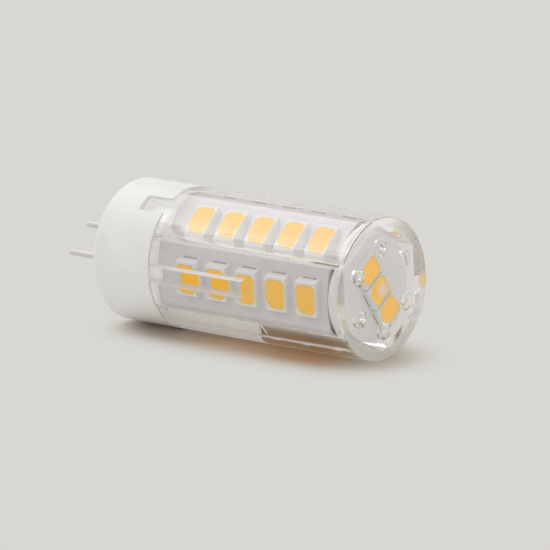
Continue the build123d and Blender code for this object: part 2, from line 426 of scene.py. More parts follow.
# %% Cut the two mould lines
MOULD_LINE_MARGIN = 0.5
MOULD_LINE_WIDTH = 0.08
MOULD_LINE_DEPTH = 0.03
MOULD_LINE_DIRECTIONS = (29.0, 209.0)
for line_direction in MOULD_LINE_DIRECTIONS:
    bpy.ops.mesh.primitive_cube_add(
        size=1.0,
        location=(0, 0, 0),
        scale=(
            2 * MOULD_LINE_DEPTH,
            MOULD_LINE_WIDTH,
            BODY_HEIGHT - SEAM_HEIGHT - 2 * MOULD_LINE_MARGIN,
        ),
    )
    mould_line = name_new("mould_line")
    bpy.ops.object.transform_apply(location=False, rotation=False, scale=True)
    mould_line.data.transform(
        Matrix.Rotation(radians(line_direction), 4, "Z")
        @ Matrix.Translation((LAMP_RADIUS, 0, (BODY_HEIGHT + SEAM_HEIGHT) / 2))
    )
    combine(base_cup, mould_line, "DIFFERENCE")

# %% [markdown]
# The cup's plastic is a soft white that lets a little light in, so its shaded side stays pale. A faint
# glow, painted light, stands in for the light that comes back from the table, and a very fine grain breaks
# the gloss.

# %% Finish the base cup
# Painted light: the cup's faint glow stands in for light bounced back from the table.
CUP_PAINTED_BOUNCE_LIGHT = 0.035
white_plastic = new_finish(
    "white_plastic", (0.835, 0.83, 0.82), 0.38,
    Subsurface_Weight=0.35, Subsurface_Scale=0.001, Subsurface_Radius=(1.0, 0.9, 0.8),
    Emission_Color=(1.0, 0.99, 0.97, 1.0), Emission_Strength=CUP_PAINTED_BOUNCE_LIGHT,
)
cloud(white_plastic, grain(white_plastic, 0.35), (0.82, 0.815, 0.805), (0.85, 0.845, 0.835))
relief(white_plastic, grain(white_plastic, 6.0), 0.012, 0.6)
dress(base_cup, white_plastic)

# %% [markdown]
# Light soaks through the thin wall of the real cup, so its inside looks lit where the clear cover shows
# it.
# The faces inside get a twin of the finish with a faint glow, painted light that stands in for that light.

# %% Paint light on the inside of the cup
INNER_PAINTED_LIGHT = 0.20
REAR_FACE_MARGIN = 0.5
# Painted light: a twin finish for the inside faces, with a glow for the light through the wall.
cup_inside_painted_light = new_finish(
    "cup_inside_painted_light", (0.76, 0.75, 0.735), 0.45,
    Emission_Color=(1.0, 0.985, 0.96, 1.0), Emission_Strength=INNER_PAINTED_LIGHT,
)
relief(cup_inside_painted_light, grain(cup_inside_painted_light, 6.0), 0.012, 0.6)
base_cup.data.materials.append(cup_inside_painted_light)
for face in base_cup.data.polygons:
    in_the_bore = reach_of_face(base_cup, face) < CUP_BORE_RADIUS + 0.01
    if in_the_bore and face.center.z < BODY_HEIGHT - REAR_FACE_MARGIN:
        face.material_index = 1
settle(base_cup, "white_plastic", "base_cup")

# %% [markdown]
# ## The clear cover
# The real cover is one clear moulding: round outside and six-sided inside. Each flat with the round
# outside over it works as a lens, so the LEDs behind look larger than they are. A thin shell would not
# bend the light. It is modelled solid, with many sides, because a lens shows every corner of its surface,
# and the cavity is then cut out, so that every wall has its real thickness.

# %% Turn the outside of the cover
COVER_MOUTH_BREAK = 0.1
bpy.ops.mesh.primitive_cylinder_add(
    vertices=ROUND_STEPS, radius=LAMP_RADIUS, depth=SEAM_HEIGHT, location=(0, 0, SEAM_HEIGHT / 2)
)
cover = name_new("moulded_clear_cover")
bpy.ops.object.transform_apply(location=True, rotation=True, scale=True)
work_on(
    cover, "FACE", lambda face: level(face) and height_of(face) > SEAM_HEIGHT - 0.01,
    bpy.ops.mesh.inset, thickness=LAMP_RADIUS - SPIGOT_RADIUS,
)
work_again(
    bpy.ops.mesh.extrude_region_move,
    TRANSFORM_OT_translate={"value": (0, 0, COVER_END - SEAM_HEIGHT)},
)
work_on(
    cover, "EDGE", lambda edge: level(edge) and height_of(edge) < 0.01,
    bpy.ops.mesh.bevel, offset=HEAD_ROUND, segments=8, profile=0.5,
)
work_on(
    cover, "EDGE",
    lambda edge: level(edge)
    and abs(height_of(edge) - SEAM_HEIGHT) < 0.01
    and reach_of(edge) > LAMP_RADIUS - 0.1,
    bpy.ops.mesh.bevel, offset=COVER_MOUTH_BREAK, segments=3, profile=0.5,
)

# %% Add the two tongues that latch the cover in the cup
TONGUE_HALF_WIDTH = 1.0
TONGUE_LENGTH = 3.0
TONGUE_RADIUS = 7.8
TONGUE_ROOT = 0.5
TONGUE_CORNER = 0.45
bpy.ops.mesh.primitive_cylinder_add(
    vertices=ROUND_STEPS,
    radius=TONGUE_RADIUS,
    depth=TONGUE_LENGTH + TONGUE_ROOT,
    location=(0, 0, SEAM_HEIGHT + (TONGUE_LENGTH - TONGUE_ROOT) / 2),
)
tongues = name_new("tongues")
bpy.ops.mesh.primitive_cube_add(
    size=1.0,
    location=(0, 0, SEAM_HEIGHT),
    scale=(2 * TONGUE_HALF_WIDTH, 2 * LAMP_RADIUS, 2 * TONGUE_LENGTH),
)
tongue_block = name_new("tongue_block")
bpy.ops.object.transform_apply(location=False, rotation=True, scale=True)
work_on(
    tongue_block, "EDGE",
    lambda edge: height_of(edge) > 0 and abs(edge.verts[0].co.y - edge.verts[1].co.y) > 0.1,
    bpy.ops.mesh.bevel, offset=TONGUE_CORNER, segments=8, profile=0.5,
)
combine(tongues, tongue_block, "INTERSECT")
combine(cover, tongues, "UNION")

# %% Cut the six-sided cavity
PAST_THE_END = 1.0
CAVITY_CORNER_ROUND = 0.15
CAVITY_FLOOR_ROUND = 0.08
bpy.ops.mesh.primitive_cylinder_add(
    vertices=6,
    radius=CAVITY_APOTHEM * HEX_CORNER,
    depth=COVER_END - HEAD_WALL + PAST_THE_END,
    location=(0, 0, (COVER_END + HEAD_WALL + PAST_THE_END) / 2),
    rotation=(0, 0, radians(30.0)),
)
cavity = name_new("cavity")
bpy.ops.object.transform_apply(location=True, rotation=True, scale=True)
work_on(
    cavity, "EDGE", lambda edge: not level(edge),
    bpy.ops.mesh.bevel, offset=CAVITY_CORNER_ROUND, segments=5, profile=0.5,
)
work_on(
    cavity, "EDGE", lambda edge: level(edge) and height_of(edge) < HEAD_WALL + 0.01,
    bpy.ops.mesh.bevel, offset=CAVITY_FLOOR_ROUND, segments=3, profile=0.5,
)
combine(cover, cavity, "DIFFERENCE")

# %% [markdown]
# The four slots run from the middle of the cover to its end. Their outer edges have a fine bevel, which
# catches the light as the bright lines that the photograph shows. The cutter carries that bevel: it is a
# block whose outer end opens out, so the cut is clean and needs no rounding afterwards.

# %% Cut the four slots
SLOT_INNER = 5.0
SLOT_BEVEL_START = 7.9
SLOT_OUTER = 9.0
SLOT_CORNER = 0.25
slot_end = COVER_END + PAST_THE_END
slot_middle = (SLOT_START + slot_end) / 2
slot_half_length = (slot_end - SLOT_START) / 2
bpy.ops.mesh.primitive_cube_add(
    size=1.0,
    location=((SLOT_INNER + SLOT_BEVEL_START) / 2, 0, slot_middle),
    scale=(SLOT_BEVEL_START - SLOT_INNER, 2 * SLOT_HALF_WIDTH, 2 * slot_half_length),
)
slot_cutter = name_new("slot_cutter")
bpy.ops.object.transform_apply(location=True, rotation=True, scale=True)
work_on(
    slot_cutter, "EDGE",
    lambda edge: abs(edge.verts[0].co.x - edge.verts[1].co.x) > 0.1
    and height_of(edge) < SLOT_START + 0.1,
    bpy.ops.mesh.bevel, offset=SLOT_CORNER, segments=6, profile=0.5,
)
work_on(
    slot_cutter, "FACE", lambda face: face.normal.x > 0.9,
    bpy.ops.mesh.extrude_region_move,
    TRANSFORM_OT_translate={"value": (SLOT_OUTER - SLOT_BEVEL_START, 0, 0)},
)
opening = SLOT_OUTER - SLOT_BEVEL_START
work_again(
    bpy.ops.transform.resize,
    value=(
        1.0,
        (SLOT_HALF_WIDTH + opening) / SLOT_HALF_WIDTH,
        (slot_half_length + opening) / slot_half_length,
    ),
    center_override=(SLOT_OUTER, 0, slot_middle),
)
slots = [
    turned_copy(slot_cutter, "slot", Matrix.Rotation(radians(direction), 4, "Z"))
    for direction in SLOT_DIRECTIONS
]
bpy.data.objects.remove(slot_cutter)
combine(cover, join(slots, "slots"), "DIFFERENCE")

# %% [markdown]
# Six round holes let the warm air out of the head. One cutter is a cylinder whose outer end is drawn out
# and opened at 45 degrees, which breaks the hole's edge, and five turned copies cut the others.

# %% Cut the six vents in the head face
VENT_RADIUS = 0.95
VENT_CIRCLE = 4.7
VENT_BREAK = 0.1
VENT_FLARE = 1.0
bpy.ops.mesh.primitive_cylinder_add(
    vertices=64, radius=VENT_RADIUS, depth=2.0, location=(VENT_CIRCLE, 0, 1.0 + VENT_BREAK)
)
vent_cutter = name_new("vent_cutter")
bpy.ops.object.transform_apply(location=True, rotation=True, scale=True)
work_on(
    vent_cutter, "FACE", lambda face: level(face) and height_of(face) < 0.5,
    bpy.ops.mesh.extrude_region_move, TRANSFORM_OT_translate={"value": (0, 0, -VENT_FLARE)},
)
flare = (VENT_RADIUS + VENT_FLARE) / VENT_RADIUS
work_again(
    bpy.ops.transform.resize,
    value=(flare, flare, 1.0),
    center_override=(VENT_CIRCLE, 0, VENT_BREAK - VENT_FLARE),
)
vents = [
    turned_copy(vent_cutter, "vent", Matrix.Rotation(radians(60.0 * place), 4, "Z"))
    for place in range(6)
]
bpy.data.objects.remove(vent_cutter)
for vent in vents:
    combine(cover, vent, "DIFFERENCE")

# %% Sink the gate mark in the middle of the head face
GATE_RADIUS = 0.75
GATE_OUTER_RADIUS = 0.87
GATE_DEPTH = 0.05
bpy.ops.mesh.primitive_cone_add(
    vertices=64,
    radius1=GATE_OUTER_RADIUS,
    radius2=GATE_RADIUS,
    depth=2 * GATE_DEPTH,
    location=(0, 0, 0),
)
combine(cover, name_new("gate_mark"), "DIFFERENCE")

# %% [markdown]
# The clear plastic bends light like the real one. Light for the parts behind it goes straight through
# instead: rays that only carry light see the cover as a faint grey film, so the inside is lit cleanly.
# The ring of the head face outside the cavity is less polished, which blurs what it shows.

# %% Finish the clear cover
PLASTIC_BENDING = 1.53
POLISHED = 0.02
clear_plastic = new_finish(
    "clear_plastic", (0.985, 0.985, 0.98), POLISHED, IOR=PLASTIC_BENDING, Transmission_Weight=1.0
)
relief(clear_plastic, grain(clear_plastic, 0.25, 2.0), 0.03, 0.1)

# %% Blur the ring of the head face
RIM_INNER = 6.3
RIM_OUTER = 6.9
RIM_DEPTH = 0.3
RIM_FACE = 0.1
RIM_ROUGHNESS = 0.30


def share_of(output, start, end, low, high):
    """A number that goes from low to high as an output goes between two lengths in millimetres."""
    span = clear_plastic.node_tree.nodes.new("ShaderNodeMapRange")
    span.inputs["From Min"].default_value = start * MILLIMETRE
    span.inputs["From Max"].default_value = end * MILLIMETRE
    span.inputs["To Min"].default_value = low
    span.inputs["To Max"].default_value = high
    clear_plastic.node_tree.links.new(output, span.inputs["Value"])
    return span.outputs["Result"]


nodes = clear_plastic.node_tree.nodes
links = clear_plastic.node_tree.links
cover_place = nodes.new("ShaderNodeTexCoord")
flattened = nodes.new("ShaderNodeVectorMath")
flattened.operation = "MULTIPLY"
flattened.inputs[1].default_value = (1.0, 1.0, 0.0)
links.new(cover_place.outputs["Object"], flattened.inputs[0])
from_axis = nodes.new("ShaderNodeVectorMath")
from_axis.operation = "LENGTH"
links.new(flattened.outputs["Vector"], from_axis.inputs[0])
cover_axes = nodes.new("ShaderNodeSeparateXYZ")
links.new(cover_place.outputs["Object"], cover_axes.inputs["Vector"])
rim_share = nodes.new("ShaderNodeMath")
rim_share.operation = "MULTIPLY"
outwards = share_of(from_axis.outputs["Value"], RIM_INNER, RIM_OUTER, 0.0, RIM_ROUGHNESS)
links.new(outwards, rim_share.inputs[0])
headwards = share_of(cover_axes.outputs["Z"], RIM_DEPTH, RIM_FACE, 0.0, 1.0)
links.new(headwards, rim_share.inputs[1])
rim_roughness = nodes.new("ShaderNodeMath")
rim_roughness.inputs[1].default_value = POLISHED
links.new(rim_share.outputs["Value"], rim_roughness.inputs[0])
paint(clear_plastic, "Roughness", rim_roughness.outputs["Value"])
let_light_through(clear_plastic, (0.96, 0.96, 0.955))
dress(cover, clear_plastic)

# %% [markdown]
# The walls of the slots are less polished on the real moulding, as the tool drags along them when the
# part comes out. One looks milky and shows as a bright line along the slot, the other is only hazy. The
# corners of the cavity are hard to polish, so they are hazy as well and show as pale lines between the
# flats. So is the mark that the moulding gate leaves in the middle of the head.

# %% Dull the walls of the slots, the corners of the cavity and the gate mark
CORNER_START = 6.9
milky_wall = new_finish("milky_wall", (0.88, 0.88, 0.87), 0.5)
relief(milky_wall, grain(milky_wall, 4.0), 0.02, 0.4)
let_light_through(milky_wall, (0.9, 0.9, 0.9))
hazy_wall = new_finish(
    "hazy_wall", (0.88, 0.86, 0.86), 0.35, IOR=PLASTIC_BENDING, Transmission_Weight=0.5
)
relief(hazy_wall, grain(hazy_wall, 4.0), 0.02, 0.4)
let_light_through(hazy_wall, (0.9, 0.9, 0.9))
cover.data.materials.append(milky_wall)
cover.data.materials.append(hazy_wall)
for face in cover.data.polygons:
    middle = face.center.xy.length
    if CAVITY_APOTHEM < middle < SPIGOT_RADIUS and face.center.z > SLOT_START:
        round_lamp = Vector((-face.center.y, face.center.x, 0)) / middle
        if face.normal.dot(round_lamp) < -0.9:
            face.material_index = 1
        elif face.normal.dot(round_lamp) > 0.9:
            face.material_index = 2
    elif middle < GATE_OUTER_RADIUS and 0.001 < face.center.z < GATE_DEPTH + 0.001:
        face.material_index = 2
    if CORNER_START < middle < SPIGOT_RADIUS and face.center.z > HEAD_WALL:
        if face.normal.xy.dot(face.center.xy) < -0.9 * middle:
            face.material_index = 2
settle(cover, "clear_plastic", "clear_cover")

# %% [markdown]
# ## The folded LED board
# The real board is one thin sheet folded round six sides, with its ends meeting at a corner that the
# photograph hides. It starts as a six-sided tube without ends, gets round folds and then its thickness.
# It has a little play in the cavity, and the photograph shows it turned by not quite two degrees.

# %% Fold the LED board
FOLD_ROUND = 0.6
bpy.ops.mesh.primitive_cylinder_add(
    vertices=6,
    radius=BOARD_APOTHEM * HEX_CORNER,
    depth=CUP_FLOOR_HEIGHT - BOARD_FRONT,
    end_fill_type="NOTHING",
    location=(0, 0, (CUP_FLOOR_HEIGHT + BOARD_FRONT) / 2),
    rotation=(0, 0, radians(30.0)),
)
led_board = name_new("folded_led_board")
bpy.ops.object.transform_apply(location=True, rotation=True, scale=True)
work_on(
    led_board, "EDGE", lambda edge: not level(edge),
    bpy.ops.mesh.bevel, offset=FOLD_ROUND * tan(radians(30.0)), segments=8, profile=0.5,
)
apply_modifier(led_board, "SOLIDIFY", thickness=BOARD_THICKNESS, offset=-1.0, use_even_offset=True)

# %% Leave the slit where the board's ends meet
SLIT_WIDTH = 0.15
SLIT_DIRECTION = 240.0
SLIT_MIDDLE = 18.0
SLIT_CUTTER_DEPTH = 3.0
SLIT_CUTTER_LENGTH = 40.0
bpy.ops.mesh.primitive_cube_add(
    size=1.0,
    location=(BOARD_APOTHEM, 0, SLIT_MIDDLE),
    scale=(SLIT_CUTTER_DEPTH, SLIT_WIDTH, SLIT_CUTTER_LENGTH),
)
slit = name_new("slit")
bpy.ops.object.transform_apply(location=True, rotation=True, scale=True)
slit.data.transform(Matrix.Rotation(radians(SLIT_DIRECTION), 4, "Z"))
combine(led_board, slit, "DIFFERENCE")
led_board.data.transform(Matrix.Rotation(radians(BOARD_TURN), 4, "Z"))

# %% Cut the round end board
END_BOARD_BREAK = 0.04
bpy.ops.mesh.primitive_cylinder_add(
    vertices=ROUND_STEPS,
    radius=END_BOARD_RADIUS,
    depth=END_BOARD_THICKNESS,
    location=(0, 0, END_BOARD_FRONT + END_BOARD_THICKNESS / 2),
)
end_board = name_new("round_end_board")
bpy.ops.object.transform_apply(location=True, rotation=True, scale=True)
work_on(
    end_board, "EDGE", level,
    bpy.ops.mesh.bevel, offset=END_BOARD_BREAK, segments=2,
)

# %% [markdown]
# The white solder mask is slightly lilac beside the warm LEDs, and a little uneven, as printed masks are.
# The end board is nearer to the light and looks brighter, so it has a paler finish of its own, which is
# painted light.

# %% Finish the two LED boards
white_board = new_finish("white_board", (0.77, 0.735, 0.76), 0.42)
cloud(white_board, grain(white_board, 0.5), (0.75, 0.715, 0.745), (0.79, 0.755, 0.775))
relief(white_board, grain(white_board, 1.2, 4.0), 0.02, 0.4)
dress(led_board, white_board)
# Painted light: a paler copy of the board's finish for the better lit end board.
end_board_painted_light = new_finish("end_board_painted_light", (0.87, 0.845, 0.86), 0.42)
relief(end_board_painted_light, grain(end_board_painted_light, 1.2, 4.0), 0.02, 0.4)
dress(end_board, end_board_painted_light)
settle(led_board, "white_board", "led_board")
settle(end_board, "white_board", "end_board")

# %% [markdown]
# ## The LED packages
# Each real LED is a small white moulded housing with a pocket of yellow phosphor. One is modelled on a
# flat place at the origin: a block with softened edges, out of which a second block with round corners
# cuts the pocket. Copies with their own meshes then go to all the seats on the boards.

# %% Round the corners of a window, one of them wider to mark the polarity
WINDOW_CORNER = 0.65
WINDOW_CHAMFER = 0.8


def marked_corner(edge):
    """True for the upright edge at the corner towards the pins, on the lower side."""
    return not level(edge) and edge.verts[0].co.x > 0.5 and edge.verts[0].co.y > 0.5


def round_window(block, inset):
    """Rounds the four upright corners of a window block; inset is its play in the pocket."""
    work_on(
        block, "EDGE", lambda edge: not level(edge) and not marked_corner(edge),
        bpy.ops.mesh.bevel, offset=WINDOW_CORNER - inset, segments=5, profile=0.5,
    )
    work_on(
        block, "EDGE", lambda edge: marked_corner(edge) and edge.calc_length() > 0.2,
        bpy.ops.mesh.bevel, offset=WINDOW_CHAMFER - inset, segments=3, profile=0.35,
    )


# %% Model one LED housing
LED_WIDTH = 2.8
LED_LENGTH = 3.5
LED_HEIGHT = 0.75
HOUSING_ROUND = 0.06
WINDOW_WIDTH = 2.6
WINDOW_LENGTH = 3.0
WINDOW_DEPTH = 0.35
bpy.ops.mesh.primitive_cube_add(
    size=1.0, location=(0, 0, LED_HEIGHT / 2), scale=(LED_WIDTH, LED_LENGTH, LED_HEIGHT)
)
housing = name_new("led_housing")
bpy.ops.object.transform_apply(location=True, rotation=True, scale=True)
work_on(
    housing, "EDGE", lambda edge: not level(edge) or height_of(edge) > 0.1,
    bpy.ops.mesh.bevel, offset=HOUSING_ROUND, segments=3, profile=0.5,
)
bpy.ops.mesh.primitive_cube_add(
    size=1.0,
    location=(0, 0, LED_HEIGHT),
    scale=(WINDOW_WIDTH, WINDOW_LENGTH, 2 * WINDOW_DEPTH),
)
pocket = name_new("pocket")
bpy.ops.object.transform_apply(location=True, rotation=True, scale=True)
round_window(pocket, 0.0)
combine(housing, pocket, "DIFFERENCE")

# %% Fill one pocket with phosphor
WINDOW_PLAY = 0.01
WINDOW_RIM = 0.11
WINDOW_SINK = 0.015
bpy.ops.mesh.primitive_cube_add(
    size=1.0,
    location=(0, 0, LED_HEIGHT - (WINDOW_DEPTH + WINDOW_SINK) / 2),
    scale=(
        WINDOW_WIDTH - 2 * WINDOW_PLAY,
        WINDOW_LENGTH - 2 * WINDOW_PLAY,
        WINDOW_DEPTH - WINDOW_SINK,
    ),
)
window = name_new("phosphor_window")
bpy.ops.object.transform_apply(location=True, rotation=True, scale=True)
round_window(window, WINDOW_PLAY)
work_on(
    window, "FACE", lambda face: face.normal.z > 0.9, bpy.ops.mesh.inset, thickness=WINDOW_RIM
)

# %% [markdown]
# The solder shows as a thin, ragged, greyish line at both ends of each LED. A clean wedge looks drawn with
# a ruler, so a thin block is subdivided along its length, leaned back, let down in the middle, and its
# points are then moved a little at random. The seed keeps the result the same in each run.

# %% Model the solder at one end of an LED
SOLDER_WIDTH = 1.8
SOLDER_FOOT = 0.06
SOLDER_CLIMB = 0.14
SOLDER_LEAN = 0.03
SOLDER_SLOPE = 0.06
SOLDER_DIP = 0.045
SOLDER_RAGGED = 0.04
bpy.ops.mesh.primitive_cube_add(
    size=1.0,
    location=(0, LED_LENGTH / 2 + SOLDER_FOOT / 2, SOLDER_CLIMB / 2),
    scale=(SOLDER_WIDTH, SOLDER_FOOT, SOLDER_CLIMB),
)
solder = name_new("solder")
bpy.ops.object.transform_apply(location=True, rotation=True, scale=True)
work_on(
    solder, "EDGE", lambda edge: abs(edge.verts[0].co.x - edge.verts[1].co.x) > 0.5,
    bpy.ops.mesh.subdivide, number_cuts=11,
)
work_on(
    solder, "VERT", lambda vert: vert.co.z > 0.1 and vert.co.y > LED_LENGTH / 2 + 0.04,
    bpy.ops.transform.translate, value=(0, -SOLDER_LEAN, -SOLDER_SLOPE),
)
work_on(
    solder, "VERT", lambda vert: vert.co.z > 0.05 and abs(vert.co.x) < 0.7,
    bpy.ops.transform.translate, value=(0, 0, -SOLDER_DIP),
)
work_on(
    solder, "VERT", lambda vert: vert.co.z > 0.02 and abs(vert.co.x) < 0.8,
    bpy.ops.transform.vertex_random, offset=SOLDER_RAGGED, seed=4,
)

# %% [markdown]
# The phosphor is a yellow resin that turns part of the blue in the daylight into yellow, so it looks
# brighter than paint of its colour. A faint glow does that here, and is partly painted light that lifts
# the LEDs in shade. The
# LEDs behind the head face get a copy with more painted light, and a paler rim runs round each window,
# where the resin is thin.

# %% Finish the LED packages
# The rows' glow is partly fluorescence and partly painted light; the head's stronger glow is painted
# light.
ROW_GLOW_AND_PAINTED_LIGHT = 0.22
END_PAINTED_LIGHT = 0.33
led_housing = new_finish("led_housing", (0.86, 0.85, 0.83), 0.45)
cloud(led_housing, grain(led_housing, 1.5), (0.84, 0.832, 0.822), (0.88, 0.872, 0.862))
phosphor = new_finish(
    "phosphor", (0.83, 0.44, 0.03), 0.35,
    Emission_Color=(1.0, 0.50, 0.04, 1.0), Emission_Strength=ROW_GLOW_AND_PAINTED_LIGHT,
)
cloud(phosphor, grain(phosphor, 3.0, 5.0), (0.80, 0.41, 0.02), (0.86, 0.49, 0.04))
relief(phosphor, grain(phosphor, 5.0), 0.02, 0.5)
# Painted light: a copy of the phosphor that glows more, for the head's LEDs lit from the table.
end_phosphor_painted_light = phosphor.copy()
end_phosphor_painted_light.name = "end_phosphor_painted_light"
end_phosphor_painted_light.node_tree.nodes["Principled BSDF"].inputs["Emission Strength"].default_value = END_PAINTED_LIGHT
phosphor_rim = new_finish("phosphor_rim", (0.88, 0.60, 0.16), 0.35)
tin_solder = new_finish("tin_solder", (0.44, 0.38, 0.30), 0.5, Metallic=0.4)
relief(tin_solder, grain(tin_solder, 6.0), 0.05, 0.8)
dress(housing, led_housing)
dress(solder, tin_solder)
dress(window, phosphor)
window.data.materials.append(phosphor_rim)
for face in window.data.polygons:
    if face.normal.z > 0.1 and face.area < 1.0:
        face.material_index = 1

# %% [markdown]
# ## Seats on the boards
# Every seat is a turn and a shift from the flat place where one LED was modelled: its X goes along the
# lamp, its Y round it and its Z outwards.

# %% Place the LEDs on their seats
LED_PITCH = 4.18
FIRST_LED = 5.3
END_LED_PITCH = 3.0
END_ROW_SHIFT = -0.3


def side_seat(direction, height):
    """The seat of one LED on a side of the board."""
    outward = Vector((cos(radians(direction)), sin(radians(direction)), 0))
    along = Vector((0, 0, 1))
    across = outward.cross(along)
    turn = Matrix((along, across, outward)).transposed().to_4x4()
    return Matrix.Translation(outward * BOARD_APOTHEM + along * height) @ turn


def end_seat(place):
    """The seat of one LED on the end board, facing the head."""
    along = Vector((0, 1, 0))
    across = Vector((1, 0, 0))
    outward = Vector((0, 0, -1))
    turn = Matrix((along, across, outward)).transposed().to_4x4()
    sideways = END_ROW_SHIFT + (place - 1) * END_LED_PITCH
    return Matrix.Translation((0, sideways, END_BOARD_FRONT)) @ turn


seats = {
    f"row_{row}": [
        side_seat(direction + BOARD_TURN, FIRST_LED + place * LED_PITCH) for place in range(5)
    ]
    for row, direction in enumerate(ROW_DIRECTIONS, start=1)
}
seats["head"] = [end_seat(place) for place in range(3)]
half_turn = Matrix.Rotation(radians(180.0), 4, "Z")
solder_marks = []
for row_name, row_seats in seats.items():
    windows = []
    for number, seat in enumerate(row_seats, start=1):
        copy = turned_copy(housing, f"housing_{row_name}_{number}", seat)
        settle(copy, "led_housing", f"led_{row_name}_{number}")
        windows.append(turned_copy(window, "window", seat))
        solder_marks.append(turned_copy(solder, "mark", seat))
        solder_marks.append(turned_copy(solder, "mark", seat @ half_turn))
    windows_of_row = join(windows, f"windows_{row_name}")
    if row_name == "head":
        windows_of_row.data.materials[0] = end_phosphor_painted_light
    settle(windows_of_row, "phosphor", f"phosphor_{row_name}")
settle(join(solder_marks, "solder_marks"), "solder", "led_solder")
for pattern in (housing, window, solder):
    bpy.data.objects.remove(pattern)

# %% [markdown]
# ## The contact pins
# Each pin is drawn wire with a broken edge at its tip and a thicker collar pressed in the cup. It is made
# of two cylinders, which a boolean joins to one closed piece. Its finish has fine lines along the wire,
# from a noise that is drawn out on Z.

# %% Model the two pins
PIN_RADIUS = 0.35
PIN_LENGTH = 15.35
PIN_TIP_BREAK = 0.15
PIN_COLLAR_RADIUS = 0.55
PIN_COLLAR_LENGTH = 1.2
PIN_COLLAR_MIDDLE = 33.9
bpy.ops.mesh.primitive_cylinder_add(
    vertices=48,
    radius=PIN_RADIUS,
    depth=PIN_LENGTH,
    location=(0, 0, PIN_TIP_HEIGHT - PIN_LENGTH / 2),
)
pin = name_new("pin")
bpy.ops.object.transform_apply(location=True, rotation=True, scale=True)
work_on(
    pin, "EDGE", lambda edge: level(edge) and height_of(edge) > BODY_HEIGHT,
    bpy.ops.mesh.bevel, offset=PIN_TIP_BREAK, segments=4, profile=0.5,
)
bpy.ops.mesh.primitive_cylinder_add(
    vertices=48,
    radius=PIN_COLLAR_RADIUS,
    depth=PIN_COLLAR_LENGTH,
    location=(0, 0, PIN_COLLAR_MIDDLE),
)
combine(pin, name_new("collar"), "UNION")
pin_metal = new_finish("pin_metal", (0.76, 0.74, 0.71), 0.5, Metallic=0.5)
paint(
    pin_metal, "Roughness",
    between(pin_metal, grain(pin_metal, 1.0), 0.3, 0.7, (0.42, 0.42, 0.42), (0.60, 0.60, 0.60)),
)
relief(pin_metal, grain(pin_metal, 2.0, 3.0, (1.0, 1.0, 0.1)), 0.02, 0.4)
dress(pin, pin_metal)
for number, pin_place in enumerate(PIN_PLACES, start=1):
    copy = turned_copy(pin, f"drawn_pin_{number}", Matrix.Translation((*pin_place, 0)))
    settle(copy, "pin_metal", f"contact_pin_{number}")
bpy.data.objects.remove(pin)

# %% [markdown]
# ## The driver inside
# The driver board and its parts sit inside the folded board, where only an open cover shows them. Their
# CAD shapes are right as they are, so they only get finishes.

# %% Finish the driver board and its parts
fibre_board = new_finish("fibre_board", (0.05, 0.16, 0.07), 0.4)
paint(
    fibre_board, "Base Color",
    between(fibre_board, grain(fibre_board, 2.0), 0.4, 0.6, (0.04, 0.14, 0.06), (0.06, 0.18, 0.08)),
)
black_resin = new_finish("black_resin", (0.015, 0.015, 0.016), 0.45)
relief(black_resin, grain(black_resin, 10.0), 0.01, 0.6)
tan_ceramic = new_finish("tan_ceramic", (0.38, 0.26, 0.15), 0.4)
relief(tan_ceramic, grain(tan_ceramic, 6.0), 0.01, 0.6)
dark_ferrite = new_finish("dark_ferrite", (0.03, 0.03, 0.032), 0.55)
relief(dark_ferrite, grain(dark_ferrite, 8.0), 0.02, 0.6)
DRIVER_FINISHES = {
    "driver_board": fibre_board,
    "bridge_rectifier": black_resin,
    "driver_chip": black_resin,
    "return_diode": black_resin,
    "sense_resistor": black_resin,
    "filter_capacitor": tan_ceramic,
    "drum_coil": dark_ferrite,
}
for node_name, finish in DRIVER_FINISHES.items():
    dress(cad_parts[node_name], finish)

# %% [markdown]
# ## Floor, room and light
# The lamp lies on its side on a pale table. The table is a round sheet that touches the lamp's side, and
# is clear when seen from behind, so that it never hides the lamp. Close to the line of contact it has a
# painted shadow with painted warm light from the LEDs, which changes along the lamp: grey before the clear
# head, warm beside the yellow LEDs, paler by the slots and dark grey under the cup. Away from the lamp it
# fades to the plain colour of the room. One large soft light hangs over the lamp.

# %% Lay the floor against the lamp's side
BACKGROUND = (0.687, 0.680, 0.644)
UP = Vector((-0.56340, 0.82618, 0))
FLOOR_RADIUS = 300.0
FLOOR_MIDDLE_RADIUS = 60.0
FLOOR_CENTRE_HEIGHT = 20.0
FLOOR_GAP = 0.01
CONTACT_START = 4.5
CONTACT_END = 27.0
PAINTED_SHADOW_START = 5.0
PAINTED_SHADOW_END = 9.6
FADE_START = 4.5
FADE_END = 13.0
PAPER = (0.70, 0.692, 0.656)
# Painted shadow and painted warm bounce light along the line of contact, from the head to the cup.
PAINTED_SHADOW_BY_LAMP = (
    (0.0, (0.61, 0.56, 0.48)),
    (7.0, (0.61, 0.42, 0.26)),
    (18.0, (0.72, 0.58, 0.455)),
    (CONTACT_END, (0.50, 0.43, 0.36)),
)
bpy.ops.mesh.primitive_circle_add(vertices=96, radius=FLOOR_RADIUS, fill_type="NGON")
floor = name_new("floor")
work_on(
    floor, "FACE", lambda face: True,
    bpy.ops.mesh.inset, thickness=FLOOR_RADIUS - FLOOR_MIDDLE_RADIUS,
)
floor_turn = Vector((0, 0, 1)).rotation_difference(UP).to_matrix().to_4x4()
floor.data.transform(
    Matrix.Scale(MILLIMETRE, 4)
    @ Matrix.Translation(Vector((0, 0, FLOOR_CENTRE_HEIGHT)) - UP * (LAMP_RADIUS + FLOOR_GAP))
    @ floor_turn
)
floor_finish = bpy.data.materials.new("floor_finish")
floor_finish.use_nodes = True
nodes = floor_finish.node_tree.nodes
links = floor_finish.node_tree.links
paper = nodes["Principled BSDF"]
paper.inputs["Roughness"].default_value = 0.7
room_colour = nodes.new("ShaderNodeEmission")
